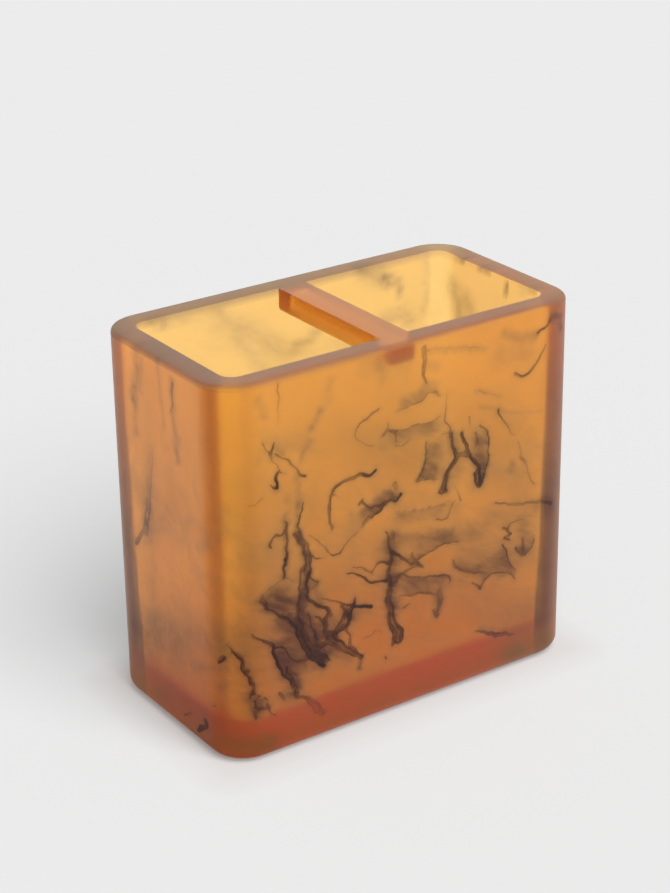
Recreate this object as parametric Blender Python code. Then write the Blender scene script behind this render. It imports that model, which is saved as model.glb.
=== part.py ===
"""Toothbrush cup: a thick-walled tumbler of cast resin with a bar across its mouth.

The cup is one casting. A bar of the same resin is bonded between its two long walls,
flush with the rim, and parts the mouth into two pockets that join below it. Four clear
pads sit in shallow round recesses under the base and keep it off a wet worktop.

Metres, +Z up. X runs along the length and Y through the depth, from front to back. The
origin is on the worktop, under the middle of the cup.
"""

import math

import bmesh
import bpy

MM = 0.001

# Cup, from the worktop to the rim
CUP_LENGTH = 108.5 * MM
CUP_DEPTH = 57.5 * MM
CUP_HEIGHT = 101.5 * MM
WALL = 6.5 * MM
BASE_THICKNESS = 9.0 * MM
OUTER_CORNER = 10.0 * MM
POCKET_CORNER = 3.5 * MM
FOOT_ROUND = 3.5 * MM
FLOOR_FILLET = 3.0 * MM
RIM_OUTER_ROUND = 1.2 * MM
RIM_INNER_ROUND = 0.4 * MM

# Bar across the mouth
BAR_WIDTH = 8.5 * MM
BAR_THICKNESS = 6.5 * MM
BAR_UPPER_ROUND = 0.3 * MM
BAR_LOWER_ROUND = 1.6 * MM
BOND_LINE = 0.3 * MM

# Pads under the base
PAD_DIAMETER = 8.0 * MM
PAD_THICKNESS = 1.2 * MM
PAD_PROUD = 0.5 * MM
PAD_EDGE_ROUND = 0.3 * MM
PAD_CLEARANCE = 0.3 * MM
PAD_EDGE_DISTANCE = 14.0 * MM

# Where a cutter runs past the face it opens
OVERRUN = 1.0 * MM

# Faces along each rounded corner or edge
CORNER_STEPS = 12
ROUND_STEPS = 6
PAD_STEPS = 32

# Worked out from the sizes above
CASTING_BOTTOM = PAD_PROUD
FLOOR_HEIGHT = CASTING_BOTTOM + BASE_THICKNESS
POCKET_LENGTH = CUP_LENGTH - 2 * WALL
POCKET_DEPTH = CUP_DEPTH - 2 * WALL
PAD_RADIUS = PAD_DIAMETER / 2
RECESS_RADIUS = PAD_RADIUS + PAD_CLEARANCE
RECESS_TOP = PAD_THICKNESS + BOND_LINE

PAD_PLACES = {
    "front_left": (-1, -1),
    "front_right": (1, -1),
    "back_left": (-1, 1),
    "back_right": (1, 1),
}


def clear_scene():
    """Remove whatever the open file holds."""
    for item in list(bpy.data.objects):
        bpy.data.objects.remove(item, do_unlink=True)


def make_material(name, colour, roughness, transmission):
    """A plain dielectric of one colour."""
    material = bpy.data.materials.new(name)
    material.use_nodes = True
    material.diffuse_color = (*colour, 1.0)
    shader = material.node_tree.nodes["Principled BSDF"]
    shader.inputs["Base Color"].default_value = (*colour, 1.0)
    shader.inputs["Roughness"].default_value = roughness
    shader.inputs["Metallic"].default_value = 0.0
    shader.inputs["IOR"].default_value = 1.52
    shader.inputs["Transmission Weight"].default_value = transmission
    return material


def add_object(name, bm, material):
    """Turn a finished bmesh into a named object, smooth where it is round."""
    bmesh.ops.recalc_face_normals(bm, faces=bm.faces)
    mesh = bpy.data.meshes.new(name)
    bm.to_mesh(mesh)
    bm.free()
    item = bpy.data.objects.new(name, mesh)
    bpy.context.collection.objects.link(item)
    if material is not None:
        mesh.materials.append(material)
    mesh.shade_smooth()
    mesh.set_sharp_from_angle(angle=math.radians(35))
    return item


def quarter(steps):
    """Angles from nought to a right angle."""
    return [math.pi / 2 * step / steps for step in range(steps + 1)]


def rounded_rectangle(length, depth, corner):
    """Points round a rectangle with round corners, anticlockwise seen from above."""
    points = []
    for turn, (side_x, side_y) in enumerate(((1, 1), (-1, 1), (-1, -1), (1, -1))):
        centre_x = side_x * (length / 2 - corner)
        centre_y = side_y * (depth / 2 - corner)
        for angle in quarter(CORNER_STEPS):
            swept = turn * math.pi / 2 + angle
            points.append((centre_x + corner * math.cos(swept), centre_y + corner * math.sin(swept)))
    return points


def outer_sections():
    """Sections of the outside from its foot to its rim, each as (length, depth, corner, height)."""
    sections = []
    for angle in quarter(ROUND_STEPS):
        inset = FOOT_ROUND * (1 - math.sin(angle))
        height = CASTING_BOTTOM + FOOT_ROUND * (1 - math.cos(angle))
        sections.append((inset, height))
    for angle in quarter(ROUND_STEPS):
        inset = RIM_OUTER_ROUND * (1 - math.cos(angle))
        height = CUP_HEIGHT - RIM_OUTER_ROUND * (1 - math.sin(angle))
        sections.append((inset, height))
    return [
        (CUP_LENGTH - 2 * inset, CUP_DEPTH - 2 * inset, OUTER_CORNER - inset, height)
        for inset, height in sections
    ]


def pocket_sections():
    """Sections of the inside from its rim down to its floor."""
    sections = []
    for angle in quarter(ROUND_STEPS):
        spread = RIM_INNER_ROUND * (1 - math.sin(angle))
        height = CUP_HEIGHT - RIM_INNER_ROUND * (1 - math.cos(angle))
        sections.append((POCKET_LENGTH + 2 * spread, POCKET_DEPTH + 2 * spread, POCKET_CORNER + spread, height))
    for angle in quarter(ROUND_STEPS):
        inset = FLOOR_FILLET * (1 - math.cos(angle))
        height = FLOOR_HEIGHT + FLOOR_FILLET * (1 - math.sin(angle))
        # The corner tightens down the fillet and keeps a tenth of its radius at the floor
        corner = POCKET_CORNER * (1 - 0.9 * (1 - math.cos(angle)))
        sections.append((POCKET_LENGTH - 2 * inset, POCKET_DEPTH - 2 * inset, corner, height))
    return sections


def loft(bm, sections):
    """Skin a closed solid through rounded rectangles, with a flat face at each end."""
    rings = []
    for length, depth, corner, height in sections:
        outline = rounded_rectangle(length, depth, corner)
        rings.append([bm.verts.new((x, y, height)) for x, y in outline])
    count = len(rings[0])
    for lower, upper in zip(rings, rings[1:]):
        for index in range(count):
            follow = (index + 1) % count
            bm.faces.new((lower[index], lower[follow], upper[follow], upper[index]))
    bm.faces.new(rings[0])
    bm.faces.new(rings[-1])


def pad_centre(place):
    """Centre of a pad, a set distance in from both outer faces."""
    side_x, side_y = PAD_PLACES[place]
    centre_x = side_x * (CUP_LENGTH / 2 - PAD_EDGE_DISTANCE)
    centre_y = side_y * (CUP_DEPTH / 2 - PAD_EDGE_DISTANCE)
    return centre_x, centre_y


def turned_disc(bm, centre, profile):
    """Turn a profile of (radius, height) points about a vertical axis into a closed disc."""
    rings = []
    for radius, height in profile:
        ring = []
        for step in range(PAD_STEPS):
            angle = 2 * math.pi * step / PAD_STEPS
            x = centre[0] + radius * math.cos(angle)
            y = centre[1] + radius * math.sin(angle)
            ring.append(bm.verts.new((x, y, height)))
        rings.append(ring)
    for lower, upper in zip(rings, rings[1:]):
        for index in range(PAD_STEPS):
            follow = (index + 1) % PAD_STEPS
            bm.faces.new((lower[index], lower[follow], upper[follow], upper[index]))
    bm.faces.new(rings[0])
    bm.faces.new(rings[-1])


def make_recess_cutter():
    """Four short discs that open the pad recesses in the underside."""
    bm = bmesh.new()
    for place in PAD_PLACES:
        profile = ((RECESS_RADIUS, CASTING_BOTTOM - OVERRUN), (RECESS_RADIUS, RECESS_TOP))
        turned_disc(bm, pad_centre(place), profile)
    cutter = add_object("recess_cutter", bm, None)
    cutter.hide_render = True
    cutter.display_type = "WIRE"
    return cutter


def make_cup_body(resin):
    """The casting: four walls and a thick base in one piece."""
    bm = bmesh.new()
    loft(bm, outer_sections() + pocket_sections())
    body = add_object("cup_body", bm, resin)
    recesses = body.modifiers.new("pad_recesses", "BOOLEAN")
    recesses.operation = "DIFFERENCE"
    recesses.solver = "EXACT"
    recesses.object = make_recess_cutter()
    return body


def bar_outline():
    """Section of the bar seen along Y, with its lower edges well rounded."""
    half_width = BAR_WIDTH / 2
    top = CUP_HEIGHT
    bottom = CUP_HEIGHT - BAR_THICKNESS
    corners = (
        (half_width, top, BAR_UPPER_ROUND, 1, 1),
        (-half_width, top, BAR_UPPER_ROUND, -1, 1),
        (-half_width, bottom, BAR_LOWER_ROUND, -1, -1),
        (half_width, bottom, BAR_LOWER_ROUND, 1, -1),
    )
    outline = []
    for turn, (x, z, radius, side_x, side_z) in enumerate(corners):
        for angle in quarter(ROUND_STEPS):
            swept = turn * math.pi / 2 + angle
            outline.append((
                x - side_x * radius + radius * math.cos(swept),
                z - side_z * radius + radius * math.sin(swept),
            ))
    return outline


def make_divider_bar(resin):
    """The bar, cut to the pocket's depth less a bond line at each end."""
    bm = bmesh.new()
    reach = POCKET_DEPTH / 2 - BOND_LINE
    outline = bar_outline()
    front = [bm.verts.new((x, -reach, z)) for x, z in outline]
    end = bm.faces.new(front)
    grown = bmesh.ops.extrude_face_region(bm, geom=[end])
    far_verts = [item for item in grown["geom"] if isinstance(item, bmesh.types.BMVert)]
    bmesh.ops.translate(bm, verts=far_verts, vec=(0, 2 * reach, 0))
    return add_object("divider_bar", bm, resin)


def make_base_pad(place, rubber):
    """One clear pad, standing on the worktop with its upper part in its recess."""
    profile = []
    for angle in quarter(ROUND_STEPS):
        radius = PAD_RADIUS - PAD_EDGE_ROUND * (1 - math.sin(angle))
        profile.append((radius, PAD_EDGE_ROUND * (1 - math.cos(angle))))
    profile.append((PAD_RADIUS, PAD_THICKNESS))
    bm = bmesh.new()
    turned_disc(bm, pad_centre(place), profile)
    return add_object("base_pad_" + place, bm, rubber)


def main():
    clear_scene()
    resin = make_material("amber_cast_resin", (0.60, 0.25, 0.06), 0.38, 0.8)
    bar_resin = make_material("amber_cast_resin_bar", (0.66, 0.30, 0.08), 0.30, 0.8)
    rubber = make_material("clear_pad_rubber", (0.80, 0.80, 0.76), 0.30, 0.6)
    cup = bpy.data.objects.new("toothbrush_cup", None)
    bpy.context.collection.objects.link(cup)
    pieces = [make_cup_body(resin), make_divider_bar(bar_resin)]
    pieces += [make_base_pad(place, rubber) for place in PAD_PLACES]
    for piece in pieces:
        piece.parent = cup


main()
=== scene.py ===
"""Dress the toothbrush cup: amber cast resin with smoky marbling, on a pale worktop.

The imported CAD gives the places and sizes. The casting and its bar are made again here as
one fine mesh, because the resin runs from the walls into the bar without a seam. Its
marbling is laid on that mesh as plumes of ink, and the resin's material draws them.
"""

import math

import bmesh
import bpy
import numpy as np
from bpy.props import FloatProperty, FloatVectorProperty, PointerProperty, StringProperty
from mathutils import Matrix, Vector


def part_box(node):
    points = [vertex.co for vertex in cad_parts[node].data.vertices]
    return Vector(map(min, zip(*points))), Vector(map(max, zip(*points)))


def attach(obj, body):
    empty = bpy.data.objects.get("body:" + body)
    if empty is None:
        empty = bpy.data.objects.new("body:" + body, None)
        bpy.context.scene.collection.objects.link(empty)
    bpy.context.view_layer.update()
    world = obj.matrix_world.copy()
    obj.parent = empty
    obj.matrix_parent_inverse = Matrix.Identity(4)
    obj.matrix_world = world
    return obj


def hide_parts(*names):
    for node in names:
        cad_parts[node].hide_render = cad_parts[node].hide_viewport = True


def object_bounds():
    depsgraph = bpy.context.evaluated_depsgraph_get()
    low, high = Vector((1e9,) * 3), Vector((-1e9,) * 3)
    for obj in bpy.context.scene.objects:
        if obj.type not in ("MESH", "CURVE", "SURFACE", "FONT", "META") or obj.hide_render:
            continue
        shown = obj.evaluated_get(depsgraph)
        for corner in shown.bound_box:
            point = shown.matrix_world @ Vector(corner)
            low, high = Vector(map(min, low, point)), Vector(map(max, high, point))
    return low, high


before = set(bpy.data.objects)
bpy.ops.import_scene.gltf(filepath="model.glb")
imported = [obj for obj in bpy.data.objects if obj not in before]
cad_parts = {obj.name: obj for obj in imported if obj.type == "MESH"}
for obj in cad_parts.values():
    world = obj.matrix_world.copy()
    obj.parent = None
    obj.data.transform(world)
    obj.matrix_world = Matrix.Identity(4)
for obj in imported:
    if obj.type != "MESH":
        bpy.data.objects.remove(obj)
CAD_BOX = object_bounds()

bl_info = {
    "name": "Toothbrush Cup",
    "version": (1, 0, 0),
    "blender": (4, 5, 0),
    "location": "View3D > Sidebar > Toothbrush Cup",
    "description": "Marbled resin toothbrush cup with its stage, lamps and camera",
    "category": "Add Mesh",
}

MM = 0.001
BODY_LOW, BODY_HIGH = (Vector(corner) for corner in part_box("cup_body"))
BAR_LOW, BAR_HIGH = (Vector(corner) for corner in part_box("divider_bar"))
PAD_NODES = sorted(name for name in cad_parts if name.startswith("base_pad"))

# A plume of ink is a line through places on a wall, in mm along the wall from its middle and
# above the worktop. Then come its breadth in mm and its darkness, each at the first place and
# at the last. A plume with a veil that hangs from one side of it goes on with the veil's reach in
# mm and its darkness. The veil is on the left of the line's way where the reach is over nought.
FRONT_PLUMES = (
    (((-42.8, 86), (-41.6, 84), (-40.6, 82), (-39.4, 80), (-38, 77.8), (-36.6, 77)), (0.5, 0.3), (0.4, 0.45)),
    (((-41, 82.8), (-40, 84), (-39.2, 85.4)), (0.9, 0.5), (0.75, 0.45)),
    (((-39.2, 82.4), (-37.6, 81.2), (-35.2, 79.2), (-33.4, 77), (-32.4, 75.4), (-31, 74.4)),
     (0.5, 0.8), (0.5, 0.7)),
    (((-38.8, 77.4), (-39.3, 75.6), (-38.7, 73.6)), (1, 0.9), (0.6, 0.85)),
    (((-41.3, 75.2), (-40.2, 74), (-38.8, 73.2)), (0.35, 0.5), (0.3, 0.7)),
    (((-47, 71), (-45, 70.8), (-43, 72.2)), (0.4, 0.5), (0.2, 0.35)),
    (((-38.2, 100), (-38, 96), (-38.3, 90)), (0.7, 0.5), (0.3, 0.15)),
    (((-10.3, 70.4), (-12, 69.6), (-15, 70.4), (-18, 70.2), (-20.6, 70.1), (-22.4, 69), (-23.7, 67.4),
      (-23.9, 65.4), (-24.5, 63.2), (-24, 61), (-23.2, 58.4)), (1, 0.8), (0.85, 0.6)),
    (((-23.4, 67.4), (-22.2, 67), (-20.8, 66.2)), (0.5, 0.3), (0.4, 0.1)),
    (((-41.2, 58.6), (-41.2, 60), (-40.4, 61.5), (-38.8, 61), (-37.4, 61.4), (-36.8, 63.2)),
     (0.9, 0.5), (0.5, 0.5)),
    (((-36.7, 64), (-36.5, 61), (-36.8, 57.5), (-36.8, 54), (-37.5, 52), (-37.8, 49.6)),
     (0.8, 0.7), (0.35, 0.75)),
    (((-37.3, 54), (-36.6, 52.6)), (1, 0.8), (0.85, 0.7)),
    (((-31.6, 67.6), (-31.9, 66.2), (-33, 64.4), (-33.2, 61.5), (-32.6, 59.4)), (0.5, 0.7), (0.45, 0.6)),
    (((-34.6, 60), (-33.6, 58.4), (-32.3, 56.2), (-31.8, 54), (-31.5, 51.5), (-31.7, 49.5)),
     (0.8, 0.6), (0.65, 0.5), 2, 0.35),
    (((-32.8, 59.6), (-31.4, 57.4), (-30.4, 55.4), (-30.1, 52.5), (-30, 50), (-30.2, 47.6)),
     (0.6, 0.7), (0.45, 0.65)),
    (((-32.6, 50.5), (-33.1, 47.5), (-33.3, 44), (-33.7, 40.5), (-34, 37.5), (-33.6, 34.5)),
     (0.6, 1.4), (0.4, 0.7)),
    (((-30.6, 48.6), (-31, 46.4), (-31.3, 44), (-31.1, 42), (-30.2, 40.6), (-28.8, 39.4), (-27.4, 38.4),
      (-26, 37.4), (-24.8, 36.4), (-24.4, 35.2)), (0.8, 1.2), (0.65, 0.6)),
    (((-45, 45.4), (-43.4, 43.5), (-42, 41.8), (-40, 40), (-38, 38.6), (-36.6, 37.3), (-35.6, 36),
      (-34.9, 34.2), (-33.8, 32), (-32.8, 29.4), (-31.6, 27), (-30, 24.8), (-28.2, 22.8), (-26.4, 21.4)),
     (0.8, 1.3), (0.75, 0.85), 8, 0.4),
    (((-33.4, 36), (-33, 34), (-32.2, 31.4), (-31, 29), (-29.6, 26.4), (-27.4, 23.6)),
     (1.2, 2.6), (0.7, 0.85)),
    (((-45, 45.6), (-44.2, 46.6), (-42, 47.4), (-38.6, 49), (-36.4, 48.8), (-35, 47.2)),
     (0.5, 0.4), (0.3, 0.15)),
    (((-44.6, 46.6), (-43.4, 45), (-42.2, 43.2)), (0.6, 0.4), (0.4, 0.4)),
    (((-24.6, 36), (-25.8, 34), (-25.6, 31.5), (-24.8, 29.4), (-23.8, 27.6)), (0.9, 2), (0.55, 0.75)),
    (((-30.8, 37.5), (-30.2, 34), (-29.2, 31.6), (-28.4, 29)), (0.5, 0.8), (0.4, 0.5)),
    (((-28.8, 35.6), (-27.4, 35.2), (-26.4, 33), (-26.2, 30.4), (-25.4, 28)), (0.6, 0.8), (0.5, 0.6)),
    (((-30.4, 28.4), (-28, 27.4), (-26.4, 27.4), (-23.6, 28)), (1.2, 1.6), (0.5, 0.7)),
    (((-29.6, 24.8), (-28, 25.4), (-26, 24), (-24.8, 22.4)), (0.8, 0.8), (0.6, 0.5)),
    (((-24.6, 28.4), (-22.8, 26.6), (-20.8, 24.6), (-18.6, 22.8), (-16.6, 21.2), (-15.4, 20.2)),
     (2.8, 1.4), (0.8, 0.8)),
    (((-30.2, 47.2), (-29.2, 46.2), (-28, 45.1)), (0.5, 0.8), (0.5, 0.6)),
    (((-30, 43.6), (-28.8, 44.2), (-28, 45)), (0.5, 0.4), (0.4, 0.3)),
    (((-20.6, 36.2), (-20.2, 34.4), (-20.8, 32.6), (-22, 31), (-23, 29.4)), (1.1, 1.4), (0.5, 0.6)),
    (((-22.6, 29.6), (-20.4, 30.2), (-18.8, 31.4), (-18, 33.6), (-17.4, 35.8), (-16.8, 37.8)),
     (1.7, 0.4), (0.8, 0.75)),
    (((-19.6, 34.6), (-18.6, 32.6)), (1.4, 1.4), (0.6, 0.7)),
    (((-27, 40.4), (-24.6, 39.2), (-22, 37.8), (-19.8, 36.6), (-18, 35.6)), (0.4, 0.7), (0.4, 0.6)),
    (((-18.2, 35), (-16, 34.7), (-14, 34.2), (-13, 33.8), (-12, 33.6)), (0.7, 1.1), (0.7, 0.95)),
    (((-19.6, 29.6), (-18.8, 27), (-18, 24.6), (-16.8, 22.2)), (0.7, 0.6), (0.5, 0.6)),
    (((-18.8, 44.8), (-16.8, 44), (-15, 42.8), (-13.4, 41.2), (-12, 40.4), (-10, 40), (-7.4, 39.4)),
     (0.5, 0.9), (0.6, 0.85)),
    (((-17, 46.2), (-15, 45.4), (-13.6, 44), (-12, 43)), (0.5, 0.6), (0.35, 0.5)),
    (((-12, 43.2), (-11, 44), (-9.4, 44.9), (-8.2, 44.8), (-7, 43.6)), (0.5, 0.6), (0.4, 0.5)),
    (((-30, 58.4), (-27.6, 56.4), (-26, 54), (-24, 52), (-22.8, 50.9), (-21, 51.4)), (0.5, 0.5), (0.3, 0.5)),
    (((-22, 51), (-19.4, 53), (-17, 54.6), (-15, 56.2), (-12.4, 57.9)), (0.4, 0.4), (0.35, 0.2)),
    (((-29.8, 52.8), (-28, 51.8), (-25.6, 51)), (0.6, 0.3), (0.6, 0.3)),
    (((-14.6, 57), (-12.6, 58), (-11, 58.4), (-9.6, 59.2), (-8, 60.6), (-6, 61), (-4.4, 60.4), (-3.4, 61.2),
      (-2.8, 62)), (0.9, 0.8), (0.6, 0.8), 4, 0.4),
    (((-14.4, 63), (-12.4, 61.4), (-10, 61), (-7, 61.4)), (0.8, 0.8), (0.45, 0.5)),
    (((-15.2, 62.6), (-14.6, 63.6)), (1, 0.8), (0.45, 0.45)),
    (((-4.8, 65.4), (-3.8, 63.8)), (1.6, 0.8), (0.35, 0.3)),
    (((-9.4, 86.4), (-12.4, 85.2), (-14.4, 84.4), (-15.6, 83), (-16, 80.6), (-14.4, 78.6), (-12.2, 77.6),
      (-10.4, 77)), (0.7, 0.4), (0.5, 0.2)),
    (((-8, 79.4), (-7, 80.4), (-6.4, 82)), (0.9, 0.4), (0.4, 0.2)),
    (((-6, 79.8), (-4.6, 79.2), (-4, 78), (-4.2, 76.6)), (0.8, 0.6), (0.4, 0.25)),
    (((-4.4, 75.4), (-2.4, 74.8), (0, 76)), (0.4, 0.4), (0.35, 0.15)),
    (((4.3, 98.8), (4.4, 95.6), (4.2, 92.4), (4.4, 91), (5.3, 89.4)), (1.8, 0.5), (0.4, 0.45)),
    (((8.1, 86.5), (9, 85.4), (9.6, 85)), (0.8, 0.5), (0.55, 0.3)),
    (((11.6, 85.5), (10.8, 79.8), (11, 78), (12.4, 76), (12.9, 73.4)), (0.3, 0.7), (0.2, 0.5)),
    (((12.9, 74), (13.2, 71.4), (13.9, 69), (14.3, 67.2), (12.8, 65.2), (11.6, 63.4), (10.9, 61.4),
      (10.2, 59.2)), (0.9, 1.9), (0.65, 0.8)),
    (((9.8, 59.3), (11.2, 59)), (1.6, 1.2), (0.85, 0.7)),
    (((14.3, 67.8), (16.2, 67.6), (18.2, 66.6)), (1.3, 1), (0.6, 0.6)),
    (((16.1, 73.6), (17.1, 71), (18.1, 68.2), (19.1, 66.3), (20.4, 64.8), (21.6, 62.4), (22, 60), (22.1, 58)),
     (1, 1.2), (0.85, 0.9)),
    (((22.3, 74), (23.8, 72.8), (24.6, 70.4), (24.8, 67), (24.4, 63.2), (23.6, 60), (22.6, 57.8),
      (21.6, 57.2), (20.8, 58.6), (20.2, 61.4)), (0.6, 0.8), (0.5, 0.7), -4, 0.3),
    (((20.6, 72.6), (20.8, 70), (20.2, 68)), (0.6, 0.4), (0.35, 0.2)),
    (((5, 74), (5, 70.6), (4.2, 67.6), (2.4, 64)), (0.5, 0.9), (0.5, 0.55), 6, 0.3),
    (((2.4, 64), (5, 63.8), (8.6, 62.9)), (0.4, 0.4), (0.4, 0.4), 6, 0.25),
    (((-8.6, 79.2), (-6, 80), (-2, 79), (2, 79.6), (6, 78.8), (9.4, 80)), (0.5, 0.4), (0.3, 0.2), -4, 0.25),
    (((-4, 84.6), (0, 84.8), (3.6, 85.4), (6, 87), (8.4, 86)), (0.4, 0.5), (0.3, 0.35), 4, 0.2),
    (((9.8, 74.6), (12, 74.4), (12.8, 72)), (0.4, 0.4), (0.3, 0.5)),
    (((-5, 58), (0, 56.6), (5, 56), (10, 55.4), (13, 56.6)), (0.3, 0.3), (0.1, 0.15), -4, 0.22),
    (((21, 83.6), (24, 82.4), (28.4, 80.6)), (0.4, 0.3), (0.2, 0.15)),
    (((6, 98.4), (14, 97), (22, 95)), (0.35, 0.3), (0.1, 0.2)),
    (((18.5, 77.2), (18.7, 74.4)), (0.5, 0.4), (0.35, 0.15)),
    (((14, 59.6), (15.3, 57), (15.9, 55.2)), (0.3, 0.7), (0.15, 0.4)),
    (((13.9, 55.4), (12.7, 53), (11.8, 51.4), (10.4, 51.2), (8.4, 52)), (0.5, 0.6), (0.25, 0.35)),
    (((39.6, 94.6), (41, 95.2), (42.6, 96.2), (44, 97.6)), (0.5, 0.8), (0.7, 0.5)),
    (((42.6, 91), (41.2, 89), (40.2, 87.2), (38.6, 85.4), (36.6, 84.3), (34.6, 84.5), (33, 85.4)),
     (0.6, 0.9), (0.3, 0.7)),
    (((27.6, 76.9), (28.6, 75.2), (29.4, 73.4), (30.6, 71.6), (31.8, 69.8), (33.6, 68.6)),
     (0.6, 0.6), (0.6, 0.2)),
    (((34, 66.4), (35.4, 63.2), (36.2, 60.6), (37.4, 58.2), (38.6, 55.6), (39.6, 53)),
     (0.6, 0.6), (0.2, 0.3)),
    (((36, 61.4), (36.6, 59.6)), (1.1, 0.8), (0.45, 0.3)),
    (((27.2, 51.2), (30, 50.1), (33, 49.1), (37, 48.3), (40, 47.8), (43, 47), (46, 45.4)),
     (0.6, 1.1), (0.4, 0.5)),
    (((29.8, 43), (31.2, 42.2), (32, 41), (32.8, 40.8)), (0.8, 0.8), (0.5, 0.6)),
    (((31.2, 42), (32.2, 43.6), (33.4, 43.8), (36, 44)), (0.6, 0.4), (0.6, 0.25)),
    (((30.6, 40.2), (32.2, 39.4)), (0.9, 0.6), (0.5, 0.4)),
    (((34, 36.2), (35.2, 34.6), (37, 33.4), (39, 34), (40.4, 35.4), (40, 38)),
     (0.7, 0.6), (0.6, 0.2), 4, 0.35),
    (((36.4, 38), (36.6, 36), (36.9, 34.6)), (0.9, 0.8), (0.4, 0.6)),
    (((30, 38.4), (31, 36), (32, 33.6), (33, 31.6), (34, 29.8)), (0.6, 0.5), (0.5, 0.5), -8, 0.3),
    (((20, 30.4), (21.4, 29.2), (22.6, 27.8)), (0.7, 0.8), (0.35, 0.6)),
    (((22.6, 28.4), (25, 30.2), (28, 30.9), (31, 29.9), (33, 28.6), (34.4, 27)),
     (0.6, 0.5), (0.5, 0.4), 6, 0.28),
    (((21.4, 15.6), (24, 14.6), (26.2, 13.4), (28, 12.4)), (0.8, 1.4), (0.3, 0.7), 2.5, 0.25),
    (((28, 12.4), (30.4, 12), (33, 11), (34.6, 10.6)), (1.4, 0.6), (0.7, 0.3), 2, 0.2),
    (((-7.4, 52.8), (-6.7, 50.6), (-6, 47.6), (-6, 44.5), (-6.3, 41), (-6.4, 37.5)), (0.6, 1.6), (0.45, 0.6)),
    (((-6.4, 38.5), (-6.4, 35), (-6.3, 31.5), (-6, 29), (-5.2, 26.4), (-4.3, 24.2), (-3.3, 21.6)),
     (1.5, 3.2), (0.65, 0.95)),
    (((-5.4, 25), (-5.3, 22.6), (-5, 20.4)), (1.1, 0.9), (0.8, 0.6)),
    (((-7, 30.6), (-7.2, 35), (-6.9, 39)), (0.8, 0.5), (0.4, 0.3)),
    (((-4.9, 51.2), (-4.2, 48.8)), (0.8, 0.4), (0.5, 0.2)),
    (((-5.2, 46.8), (-3.4, 44.8), (-1.2, 43.4), (0.4, 41.8), (1.8, 41.1), (3.8, 39.8)),
     (0.8, 0.9), (0.6, 0.5)),
    (((0.8, 44.4), (1.4, 42.4), (2.2, 41)), (0.9, 1.8), (0.35, 0.55)),
    (((-10, 44.9), (-8.2, 44.6), (-6.8, 43.6)), (0.7, 0.8), (0.4, 0.5)),
    (((-4.6, 38), (-2.6, 39.4), (-0.6, 40.4), (2, 40.6)), (0.8, 0.7), (0.4, 0.3)),
    (((-4.2, 39.4), (-2.6, 39.8), (-1, 38.4), (2, 37.4), (6, 36.6), (9, 35.6), (12.2, 34.6), (13, 33)),
     (0.7, 0.6), (0.4, 0.45), -4, 0.28),
    (((-3, 34), (0, 32.6), (3, 32.4), (6, 31.6), (8, 30.6)), (0.6, 0.8), (0.3, 0.4), 4, 0.25),
    (((9.6, 31.5), (9.8, 29), (9.2, 26.8), (8.6, 24.6)), (1.6, 1.4), (0.3, 0.45)),
    (((7.2, 26), (8.4, 24.2), (9.6, 24.6)), (0.7, 0.6), (0.4, 0.4)),
    (((1, 42), (6, 43.2), (10, 44.1), (15.4, 43.6)), (0.5, 0.5), (0.4, 0.45), 5, 0.3),
    (((13.8, 38.4), (14.4, 36.6), (16, 35.4), (20, 33.2), (24.5, 31.8)), (1, 0.6), (0.5, 0.4), 3, 0.25),
    (((-1.8, 29.8), (-0.2, 30.6)), (0.7, 0.5), (0.45, 0.35)),
    (((-14, 25.2), (-11.6, 25.4), (-10.4, 26.2), (-8.8, 25)), (0.5, 0.5), (0.25, 0.25)),
    (((-7.8, 17.8), (-7.6, 17)), (0.5, 0.5), (0.55, 0.5)),
    (((-47.2, 36.8), (-45.8, 35.2), (-43.6, 33.8), (-42.4, 32.4)), (0.7, 1.2), (0.4, 0.6)),
    (((-42.2, 32.6), (-41.4, 31), (-40.8, 29), (-40.4, 27), (-39.8, 25)), (0.9, 1.1), (0.75, 0.85), 6, 0.3),
    (((-40, 25.4), (-38.6, 23.4), (-37.6, 21.6), (-36.6, 19.6), (-35.8, 17.6), (-34.8, 15.4)),
     (0.7, 1), (0.65, 0.75), 3, 0.3),
    (((-37.6, 24.4), (-36.6, 22.4), (-35.6, 19.4), (-34.2, 16.2)), (0.7, 0.8), (0.5, 0.5)),
    (((-40.4, 31.2), (-38.6, 31), (-37.6, 29), (-36.4, 26.6), (-34.6, 25.4), (-32, 24.9)),
     (0.6, 0.6), (0.5, 0.4), -4, 0.35),
    (((-34.6, 15.2), (-32, 13.8), (-30.4, 12.2), (-29, 10.4), (-27.6, 8.4)), (0.9, 2.4), (0.5, 0.35)),
    (((-39.8, 17.8), (-39, 16.8), (-38, 15.2)), (1.2, 0.6), (0.5, 0.25)),
    (((-53, 34), (-52, 32.4), (-50.8, 31)), (0.6, 1.5), (0.4, 0.75)),
    (((-50.8, 31), (-49.8, 29), (-49, 26.4), (-48.2, 23.6), (-47.4, 21)), (1.3, 0.8), (0.75, 0.65)),
    (((-49.6, 29.6), (-48, 27.4), (-47.4, 24.6), (-46.8, 22), (-46, 19.6), (-43.9, 17.6)),
     (0.7, 0.5), (0.5, 0.55)),
    (((-47.4, 21), (-47.8, 19.4), (-47.2, 17.4), (-46.6, 16.2), (-45.2, 15.3), (-43.2, 15.2)),
     (0.7, 0.7), (0.5, 0.6), 3, 0.25),
    (((-47.8, 16), (-47, 14.2), (-46.4, 13.2)), (0.6, 1), (0.4, 0.7), 3, 0.2),
    (((-43.4, 15.4), (-42.4, 13.6), (-41.4, 12.2)), (0.8, 0.4), (0.6, 0.3)),
    (((-43.6, 16.4), (-43, 15)), (0.9, 0.7), (0.4, 0.5)),
)
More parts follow.
